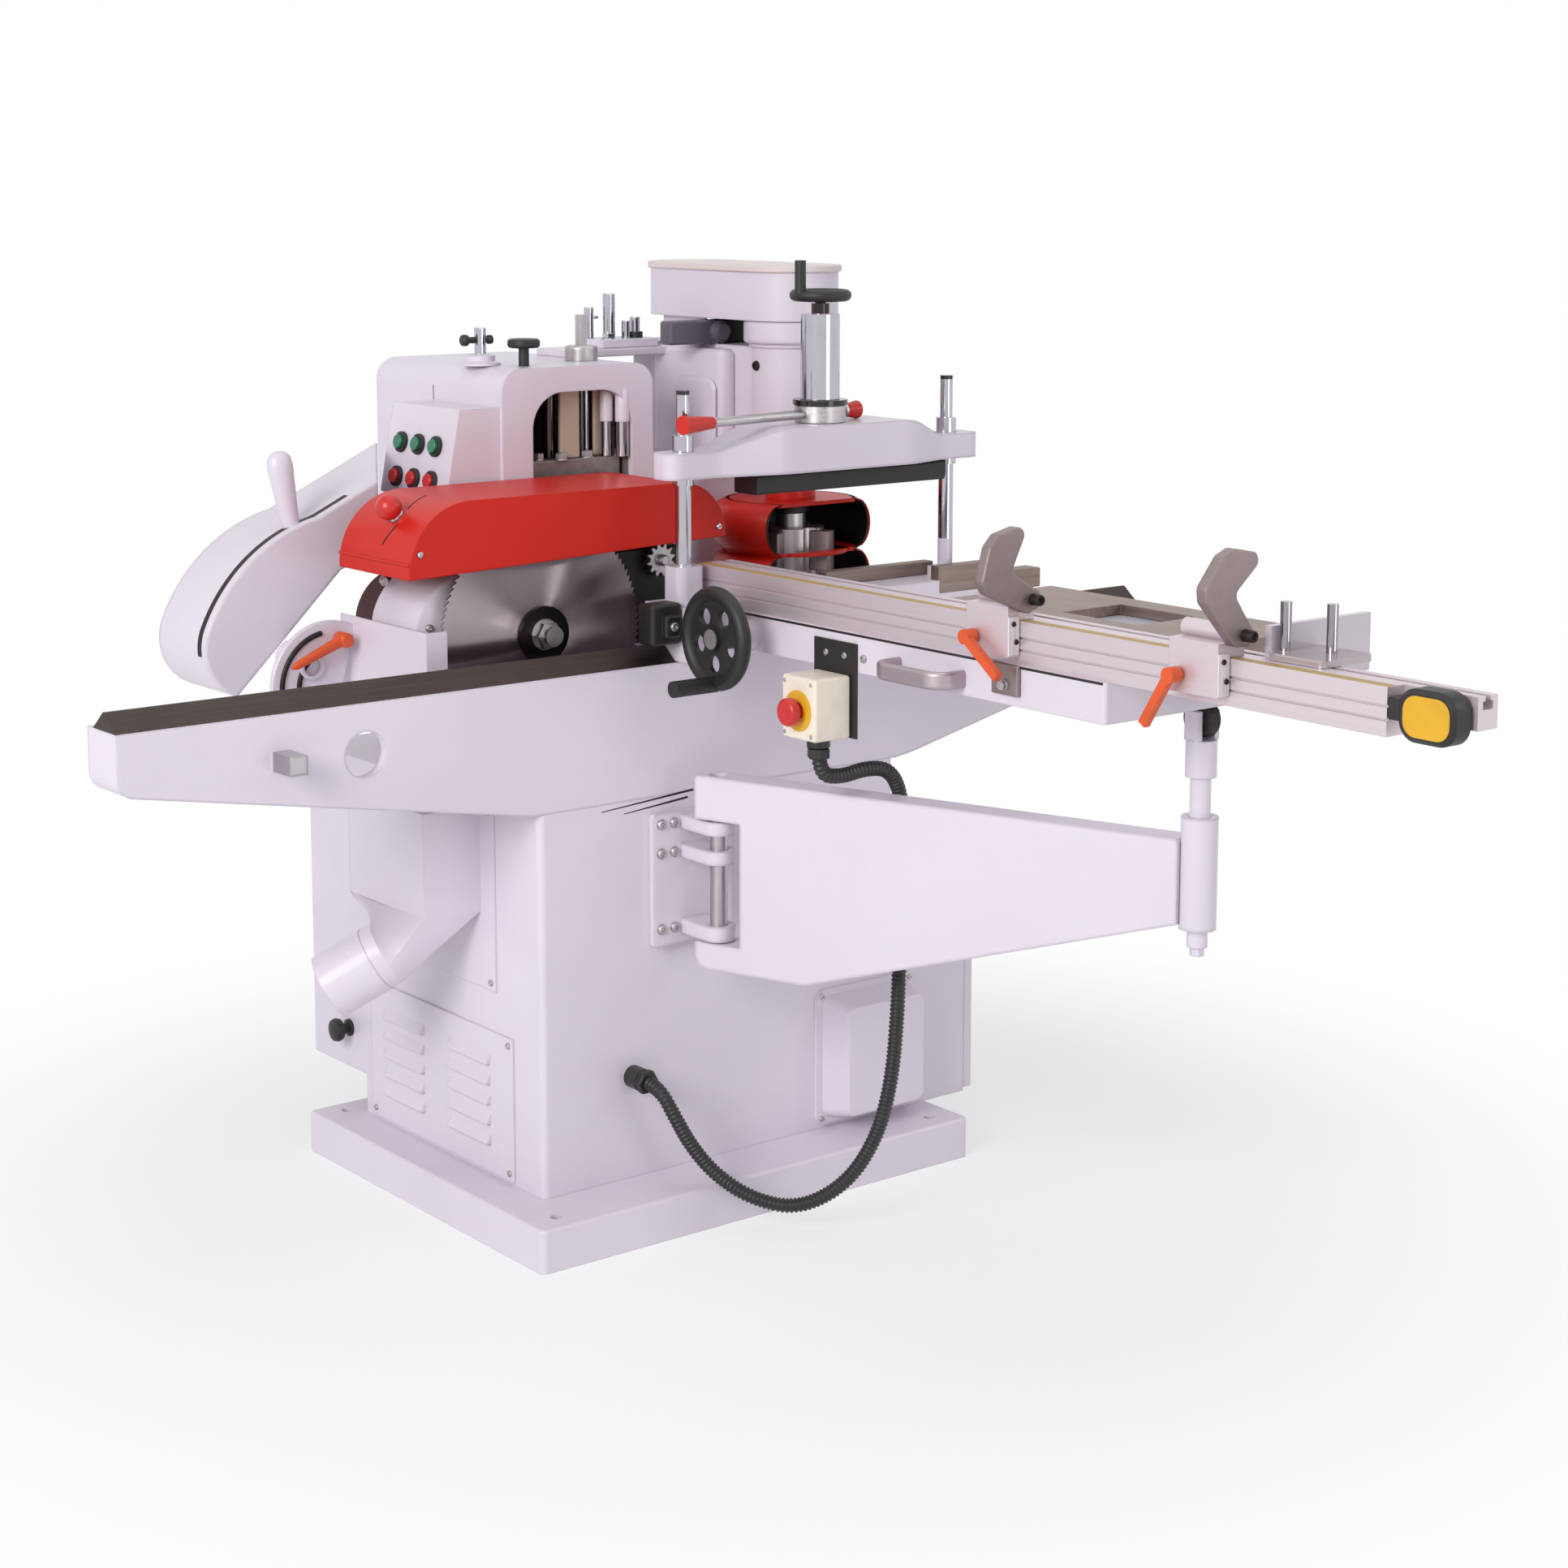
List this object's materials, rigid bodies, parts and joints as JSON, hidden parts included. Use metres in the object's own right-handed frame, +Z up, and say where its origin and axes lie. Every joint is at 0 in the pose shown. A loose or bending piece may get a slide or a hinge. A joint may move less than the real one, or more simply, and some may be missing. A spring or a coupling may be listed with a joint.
{
  "type": "single-end tenoning machine",
  "caption": "Floor-standing woodworking tenoner: cast cabinet, cut-off saw under a red hood, tenoning and coping heads, and a rail-guided table with a clamp and swing arm",
  "frame": {"origin": "centre of the plinth's underside, on the floor", "axes": "+X along the guide rail to the right, -Y towards the operator, +Z up"},
  "size_m": [1.852, 2.063, 1.421],
  "materials": {
    "grey_paint": "satin light grey enamel",
    "red_paint": "gloss red enamel",
    "rail_steel": "ground dark steel",
    "machined_iron": "machined iron",
    "bright_steel": "turned bright steel",
    "chrome": "hard chrome",
    "aluminium": "drawn aluminium",
    "cast_aluminium": "cast aluminium",
    "black_plastic": "moulded black plastic",
    "black_bar": "blackened steel",
    "beige_plastic": "moulded beige plastic",
    "orange_plastic": "moulded orange plastic",
    "green_plastic": "green button",
    "red_plastic": "red button",
    "hose_rubber": "ribbed black conduit"
  },
  "bodies": {
    "machine": {"plinth": "grey_paint", "cabinet": "grey_paint", "louvre_panel": "grey_paint", "dust_hood": "grey_paint", "terminal_cover": "grey_paint", "bed": "grey_paint", "guide_rail": "rail_steel", "arm_hinge": "grey_paint", "hinge_pin": "bright_steel", "control_hose": "hose_rubber", "head_column": "grey_paint", "column_rods": "chrome", "saw_housing": "grey_paint", "saw_side_guard": "grey_paint", "saw_hood": "red_paint", "belt_guard": "grey_paint", "coping_column": "grey_paint", "coping_belt_cover": "grey_paint", "coping_guard": "red_paint", "control_panel": "grey_paint", "saw_motor": "grey_paint"},
    "electrical_door": {"electrical_door": "grey_paint"},
    "saw": {"saw_arbor": "bright_steel", "saw_blade": "bright_steel"},
    "tenon_head": {"tenon_head": "machined_iron"},
    "tenon_cutter": {"tenon_cutter": "bright_steel"},
    "head_crank": {"head_crank": "bright_steel"},
    "column_lock_knob": {"column_lock_knob": "black_plastic"},
    "hood_knob": {"hood_knob": "red_plastic"},
    "coping_spindle": {"coping_spindle": "bright_steel"},
    "carriage": {"carriage_saddle": "grey_paint", "carriage_beam": "grey_paint", "table_profile": "aluminium", "table_plate": "cast_aluminium", "pull_handle": "bright_steel", "clamp_posts": "chrome", "clamp_bridge": "grey_paint", "clamp_cylinder": "chrome", "estop_box": "beige_plastic"},
    "clamp_bar": {"clamp_bar": "black_bar"},
    "clamp_lever": {"clamp_lever": "bright_steel"},
    "clamp_wheel": {"clamp_wheel": "black_plastic"},
    "estop_button": {"estop_button": "red_plastic"},
    "handwheel": {"handwheel": "black_plastic"},
    "stop_1": {"stop_block_1": "aluminium"},
    "stop_2": {"stop_block_2": "aluminium"},
    "stop_wing_1": {"stop_wing_1": "cast_aluminium"},
    "stop_wing_2": {"stop_wing_2": "cast_aluminium"},
    "stop_lever_1": {"stop_lever_1": "orange_plastic"},
    "stop_lever_2": {"stop_lever_2": "orange_plastic"},
    "mitre_fence": {"mitre_fence": "aluminium"},
    "swing_arm": {"swing_arm": "grey_paint"},
    "arm_post": {"arm_post": "grey_paint"},
    "arm_roller": {"arm_roller": "machined_iron"},
    "start_button_1": {"start_button_1": "green_plastic"},
    "start_button_2": {"start_button_2": "green_plastic"},
    "start_button_3": {"start_button_3": "green_plastic"},
    "stop_button_1": {"stop_button_1": "red_plastic"},
    "stop_button_2": {"stop_button_2": "red_plastic"},
    "stop_button_3": {"stop_button_3": "red_plastic"}
  },
  "joints": [
    {"name": "carriage_slide", "type": "slide", "parent": "machine", "child": "carriage", "axis": [1, 0, 0], "range_m": [-0.75, 0.35], "deforming": ["control_hose"]},
    {"name": "swing_arm_turn", "type": "hinge", "parent": "machine", "child": "swing_arm", "pos_m": [-0.068, -0.308, 0.53], "axis": [0, 0, 1], "range_deg": [-61, 29]},
    {"name": "arm_post_turn", "type": "hinge", "parent": "swing_arm", "child": "arm_post", "pos_m": [0.19193, -1.02217, 0.63], "axis": [0, 0, 1], "range_deg": [-29, 61]},
    {"name": "arm_roller_spin", "type": "hinge", "parent": "arm_post", "child": "arm_roller", "pos_m": [0.19193, -1.02217, 0.8397], "axis": [1, 0, 0], "continuous": true},
    {"name": "door_swing", "type": "hinge", "parent": "machine", "child": "electrical_door", "pos_m": [0.503, 0.193, 0.242], "axis": [0, 0, 1], "range_deg": [0, 110]},
    {"name": "saw_spin", "type": "hinge", "parent": "machine", "child": "saw", "pos_m": [-0.245, -0.11, 0.88], "axis": [0, 1, 0], "continuous": true},
    {"name": "tenon_head_slide", "type": "slide", "parent": "machine", "child": "tenon_head", "axis": [0, 0, 1], "range_m": [-0.02, 0]},
    {"name": "head_crank_turn", "type": "hinge", "parent": "machine", "child": "head_crank", "pos_m": [0.008, 0.15, 1.25], "axis": [0, 0, 1], "range_deg": [-1800, 0]},
    {"name": "tenon_cutter_spin", "type": "hinge", "parent": "tenon_head", "child": "tenon_cutter", "pos_m": [-0.03, -0.054, 1.046], "axis": [0, 1, 0], "continuous": true},
    {"name": "column_lock_turn", "type": "hinge", "parent": "machine", "child": "column_lock_knob", "pos_m": [-0.137, 0.093, 1.28], "axis": [0, 0, 1], "range_deg": [-180, 180]},
    {"name": "hood_knob_turn", "type": "hinge", "parent": "machine", "child": "hood_knob", "pos_m": [-0.45759, -0.062, 1.06429], "axis": [-0.6691, 0, 0.7431], "range_deg": [-180, 180]},
    {"name": "coping_spin", "type": "hinge", "parent": "machine", "child": "coping_spindle", "pos_m": [0.295, -0.02, 1], "axis": [0, 0, 1], "continuous": true},
    {"name": "clamp_bar_slide", "type": "slide", "parent": "carriage", "child": "clamp_bar", "axis": [0, 0, 1], "range_m": [-0.08, 0]},
    {"name": "clamp_wheel_turn", "type": "hinge", "parent": "carriage", "child": "clamp_wheel", "pos_m": [0.195, -0.218, 1.36], "axis": [0, 0, 1], "range_deg": [-3600, 0]},
    {"name": "clamp_lever_turn", "type": "hinge", "parent": "carriage", "child": "clamp_lever", "pos_m": [0.195, -0.218, 1.19], "axis": [0, 0, 1], "range_deg": [0, 75]},
    {"name": "estop_press", "type": "slide", "parent": "carriage", "child": "estop_button", "axis": [1, 0, 0], "range_m": [0, 0.005], "stiffness_N_per_m": 400},
    {"name": "handwheel_turn", "type": "hinge", "parent": "carriage", "child": "handwheel", "pos_m": [-0.1, -0.345, 0.888], "axis": [1, 0, 0], "continuous": true},
    {"name": "stop_1_slide", "type": "slide", "parent": "carriage", "child": "stop_1", "axis": [0, 1, 0], "range_m": [-0.1, 0.2]},
    {"name": "stop_2_slide", "type": "slide", "parent": "carriage", "child": "stop_2", "axis": [0, 1, 0], "range_m": [0, 0.1]},
    {"name": "stop_wing_1_turn", "type": "hinge", "parent": "stop_1", "child": "stop_wing_1", "pos_m": [-0.02, -0.913, 1.006], "axis": [0, 1, 0], "range_deg": [0, 90]},
    {"name": "stop_wing_2_turn", "type": "hinge", "parent": "stop_2", "child": "stop_wing_2", "pos_m": [-0.02, -1.28, 1.006], "axis": [0, 1, 0], "range_deg": [0, 90]},
    {"name": "stop_lever_1_turn", "type": "hinge", "parent": "stop_1", "child": "stop_lever_1", "pos_m": [-0.06, -0.843, 0.952], "axis": [1, 0, 0], "range_deg": [-60, 0]},
    {"name": "stop_lever_2_turn", "type": "hinge", "parent": "stop_2", "child": "stop_lever_2", "pos_m": [-0.06, -1.21, 0.952], "axis": [1, 0, 0], "range_deg": [-40, 60]},
    {"name": "mitre_fence_turn", "type": "hinge", "parent": "carriage", "child": "mitre_fence", "pos_m": [0.017, -1.32, 0.98], "axis": [0, 0, 1], "range_deg": [-30, 0]},
    {"name": "start_button_1_press", "type": "slide", "parent": "machine", "child": "start_button_1", "axis": [0.9827, 0, -0.1851], "range_m": [0, 0.004], "stiffness_N_per_m": 300},
    {"name": "start_button_2_press", "type": "slide", "parent": "machine", "child": "start_button_2", "axis": [0.9827, 0, -0.1851], "range_m": [0, 0.004], "stiffness_N_per_m": 300},
    {"name": "start_button_3_press", "type": "slide", "parent": "machine", "child": "start_button_3", "axis": [0.9827, 0, -0.1851], "range_m": [0, 0.004], "stiffness_N_per_m": 300},
    {"name": "stop_button_1_press", "type": "slide", "parent": "machine", "child": "stop_button_1", "axis": [0.9827, 0, -0.1851], "range_m": [0, 0.004], "stiffness_N_per_m": 300},
    {"name": "stop_button_2_press", "type": "slide", "parent": "machine", "child": "stop_button_2", "axis": [0.9827, 0, -0.1851], "range_m": [0, 0.004], "stiffness_N_per_m": 300},
    {"name": "stop_button_3_press", "type": "slide", "parent": "machine", "child": "stop_button_3", "axis": [0.9827, 0, -0.1851], "range_m": [0, 0.004], "stiffness_N_per_m": 300}
  ],
  "couplings": [
    {"joint": "swing_arm_turn", "follows": "carriage_slide", "rad_per_m": 1.4},
    {"joint": "arm_post_turn", "follows": "carriage_slide", "rad_per_m": -1.4},
    {"joint": "head_crank_turn", "follows": "tenon_head_slide", "rad_per_m": 1570},
    {"joint": "clamp_wheel_turn", "follows": "clamp_bar_slide", "rad_per_m": 785}
  ]
}
